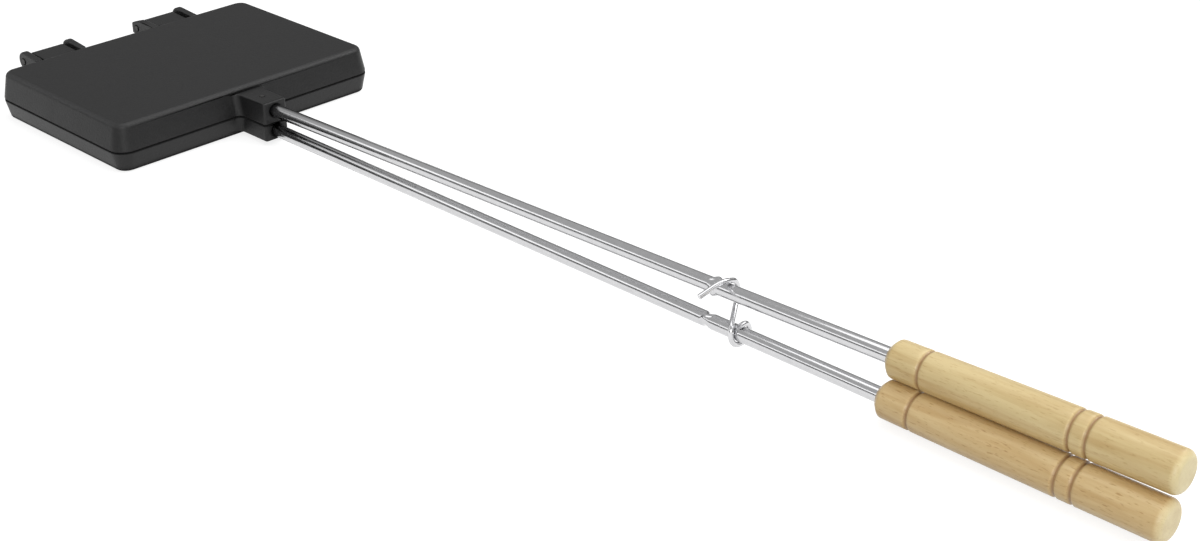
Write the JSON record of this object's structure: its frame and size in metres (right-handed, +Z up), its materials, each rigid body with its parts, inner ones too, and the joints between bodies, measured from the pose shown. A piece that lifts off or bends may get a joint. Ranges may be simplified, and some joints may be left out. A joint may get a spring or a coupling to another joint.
{
  "type": "campfire waffle iron",
  "caption": "Hinged cast-iron waffle plates on long steel rods with turned wooden grips and a wire latch that hooks the rods together.",
  "frame": {"origin": "centre of the lower plate's flat underside", "axes": "+X along the plates' long side, +Y towards the hinges, -Y towards the grips, +Z up"},
  "size_m": [0.202, 0.8482, 0.0445],
  "materials": {
    "cast_iron": "matte black seasoned casting",
    "rod_chrome": "bright plated bar",
    "latch_wire": "bright plated wire",
    "pin_steel": "plain steel, darkened",
    "upper_grip_wood": "pale hardwood, clear varnish",
    "lower_grip_wood": "warmer hardwood, clear varnish"
  },
  "bodies": {
    "lower_half": {"lower_plate": "cast_iron", "hinge_pin_left": "pin_steel", "lower_rod": "rod_chrome", "lower_rod_pin": "pin_steel", "lower_grip": "lower_grip_wood"},
    "lid": {"upper_plate": "cast_iron", "hinge_pin_right": "pin_steel", "upper_rod": "rod_chrome", "upper_rod_pin": "pin_steel", "upper_grip": "upper_grip_wood"},
    "latch": {"latch_hook": "latch_wire"}
  },
  "joints": [
    {"name": "lid_hinge", "type": "hinge", "parent": "lower_half", "child": "lid", "pos_m": [0, 0.0914, 0.025], "axis": [-1, 0, 0], "range_deg": [0, 180]},
    {"name": "latch_swing", "type": "hinge", "parent": "lower_half", "child": "latch", "pos_m": [-0.00324, -0.4983, 0.01085], "axis": [0.0081, 0.9999, -0.0059], "range_deg": [0, 80]}
  ]
}
